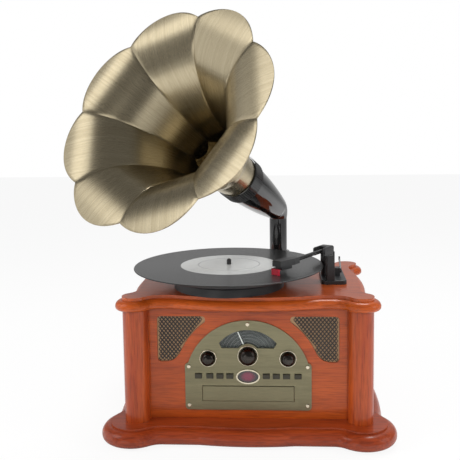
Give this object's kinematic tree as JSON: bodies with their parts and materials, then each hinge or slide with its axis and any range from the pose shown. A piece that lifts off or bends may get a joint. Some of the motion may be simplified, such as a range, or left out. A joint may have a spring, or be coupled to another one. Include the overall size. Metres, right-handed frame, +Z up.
{
  "type": "horn record player",
  "caption": "Table-top record player with a petalled brass horn, wooden cabinet, tonearm, radio dial and disc tray.",
  "frame": {"origin": "middle of the cabinet's footprint, on the plane of its feet", "axes": "+X to the right seen from the front, +Y to the back, +Z up"},
  "size_m": [0.5044, 0.4466, 0.6478],
  "materials": {
    "mahogany": "glossy varnish",
    "rubber": "matt",
    "grille_steel": "satin",
    "speaker_black": "matt",
    "fascia_brass": "brushed antique",
    "bright_brass": "polished",
    "dial_black": "satin",
    "display_red": "glossy",
    "pointer_white": "matt",
    "knob_bronze": "polished",
    "button_black": "satin",
    "sheet_steel": "plain",
    "board_green": "matt",
    "black_plastic": "satin",
    "vinyl": "glossy",
    "arm_metal": "satin",
    "guard_red": "glossy",
    "horn_black": "glossy",
    "horn_brass": "brushed antique"
  },
  "bodies": {
    "cabinet": {"plinth": "mahogany", "rubber_feet": "rubber", "corner_posts": "mahogany", "front_panel": "mahogany", "side_panel_left": "mahogany", "side_panel_right": "mahogany", "back_panel": "mahogany", "top_board": "mahogany", "speaker_grille_left": "grille_steel", "speaker_grille_right": "grille_steel", "speaker_drivers": "speaker_black", "fascia_plate": "fascia_brass", "fascia_screws": "bright_brass", "dial_scale": "dial_black", "dial_window": "dial_black", "knob_rings": "bright_brass", "display_bezel": "bright_brass", "display_lens": "display_red", "cd_deck": "sheet_steel", "circuit_board": "board_green", "transformer": "sheet_steel", "rear_jacks": "black_plastic", "turntable_base": "black_plastic", "platter_motor": "sheet_steel", "drive_belt": "rubber", "tonearm_base": "black_plastic", "horn_socket": "horn_black"},
    "turntable": {"platter": "black_plastic", "slip_mat": "rubber", "record": "vinyl"},
    "pulley": {"motor_pulley": "sheet_steel"},
    "tonearm_turret": {"tonearm_yoke": "black_plastic"},
    "arm": {"arm_tube": "arm_metal", "headshell": "black_plastic", "stylus_guard": "guard_red"},
    "lever": {"cue_lever": "black_plastic"},
    "volume": {"volume_knob": "knob_bronze"},
    "tuning": {"tuning_knob": "knob_bronze"},
    "function": {"function_knob": "knob_bronze"},
    "pointer": {"dial_pointer": "pointer_white"},
    "tray": {"cd_tray": "fascia_brass"},
    "horn": {"horn_elbow": "horn_black", "horn_collar": "horn_black", "horn_neck": "horn_brass", "horn_petal_1": "horn_brass", "horn_petal_2": "horn_brass", "horn_petal_3": "horn_brass", "horn_petal_4": "horn_brass", "horn_petal_5": "horn_brass", "horn_petal_6": "horn_brass", "horn_petal_7": "horn_brass", "horn_petal_8": "horn_brass"},
    "button_1_body": {"button_1": "button_black"},
    "button_2_body": {"button_2": "button_black"},
    "button_3_body": {"button_3": "button_black"},
    "button_4_body": {"button_4": "button_black"},
    "button_5_body": {"button_5": "button_black"},
    "button_6_body": {"button_6": "button_black"},
    "button_7_body": {"button_7": "button_black"},
    "button_8_body": {"button_8": "button_black"}
  },
  "joints": [
    {"name": "platter_spin", "type": "hinge", "parent": "cabinet", "child": "turntable", "pos_m": [-0.0325, -0.049, 0.25], "axis": [0, 0, 1], "continuous": true},
    {"name": "pulley_spin", "type": "hinge", "parent": "cabinet", "child": "pulley", "pos_m": [-0.07652, -0.00498, 0.24], "axis": [0, 0, 1], "continuous": true},
    {"name": "tonearm_swing", "type": "hinge", "parent": "cabinet", "child": "tonearm_turret", "pos_m": [0.127, -0.005, 0.26], "axis": [0, 0, 1], "range_deg": [-22.7, 36]},
    {"name": "tonearm_lift", "type": "hinge", "parent": "tonearm_turret", "child": "arm", "pos_m": [0.127, -0.005, 0.271], "axis": [-0.859, 0.512, 0], "range_deg": [0, 5]},
    {"name": "cue_lever_turn", "type": "hinge", "parent": "cabinet", "child": "lever", "pos_m": [0.148, -0.008, 0.236], "axis": [1, 0, 0], "range_deg": [0, 40]},
    {"name": "volume_turn", "type": "hinge", "parent": "cabinet", "child": "volume", "pos_m": [-0.0608, -0.12, 0.123], "axis": [0, -1, 0], "range_deg": [-300, 0]},
    {"name": "tuning_turn", "type": "hinge", "parent": "cabinet", "child": "tuning", "pos_m": [0, -0.12, 0.1273], "axis": [0, -1, 0], "range_deg": [-208, 92]},
    {"name": "function_turn", "type": "hinge", "parent": "cabinet", "child": "function", "pos_m": [0.0608, -0.12, 0.123], "axis": [0, -1, 0], "range_deg": [-90, 0]},
    {"name": "pointer_turn", "type": "hinge", "parent": "cabinet", "child": "pointer", "pos_m": [0, -0.112, 0.1273], "axis": [0, -1, 0], "range_deg": [-83.2, 36.8]},
    {"name": "button_1_press", "type": "slide", "parent": "cabinet", "child": "button_1_body", "axis": [0, 1, 0], "range_m": [0, 0.0015], "stiffness_N_per_m": 400, "springref_m": -0.0005},
    {"name": "button_2_press", "type": "slide", "parent": "cabinet", "child": "button_2_body", "axis": [0, 1, 0], "range_m": [0, 0.0015], "stiffness_N_per_m": 400, "springref_m": -0.0005},
    {"name": "button_3_press", "type": "slide", "parent": "cabinet", "child": "button_3_body", "axis": [0, 1, 0], "range_m": [0, 0.0015], "stiffness_N_per_m": 400, "springref_m": -0.0005},
    {"name": "button_4_press", "type": "slide", "parent": "cabinet", "child": "button_4_body", "axis": [0, 1, 0], "range_m": [0, 0.0015], "stiffness_N_per_m": 400, "springref_m": -0.0005},
    {"name": "button_5_press", "type": "slide", "parent": "cabinet", "child": "button_5_body", "axis": [0, 1, 0], "range_m": [0, 0.0015], "stiffness_N_per_m": 400, "springref_m": -0.0005},
    {"name": "button_6_press", "type": "slide", "parent": "cabinet", "child": "button_6_body", "axis": [0, 1, 0], "range_m": [0, 0.0015], "stiffness_N_per_m": 400, "springref_m": -0.0005},
    {"name": "button_7_press", "type": "slide", "parent": "cabinet", "child": "button_7_body", "axis": [0, 1, 0], "range_m": [0, 0.0015], "stiffness_N_per_m": 400, "springref_m": -0.0005},
    {"name": "button_8_press", "type": "slide", "parent": "cabinet", "child": "button_8_body", "axis": [0, 1, 0], "range_m": [0, 0.0015], "stiffness_N_per_m": 400, "springref_m": -0.0005},
    {"name": "tray_slide", "type": "slide", "parent": "cabinet", "child": "tray", "axis": [0, -1, 0], "range_m": [0, 0.128]},
    {"name": "horn_swivel", "type": "hinge", "parent": "cabinet", "child": "horn", "pos_m": [0.0456, 0.121, 0.24], "axis": [0, 0, 1], "range_deg": [-60, 60]}
  ],
  "couplings": [
    {"joint": "pulley_spin", "follows": "platter_spin", "ratio": 8},
    {"joint": "cue_lever_turn", "follows": "tonearm_lift", "ratio": 8},
    {"joint": "pointer_turn", "follows": "tuning_turn", "ratio": 0.4}
  ]
}
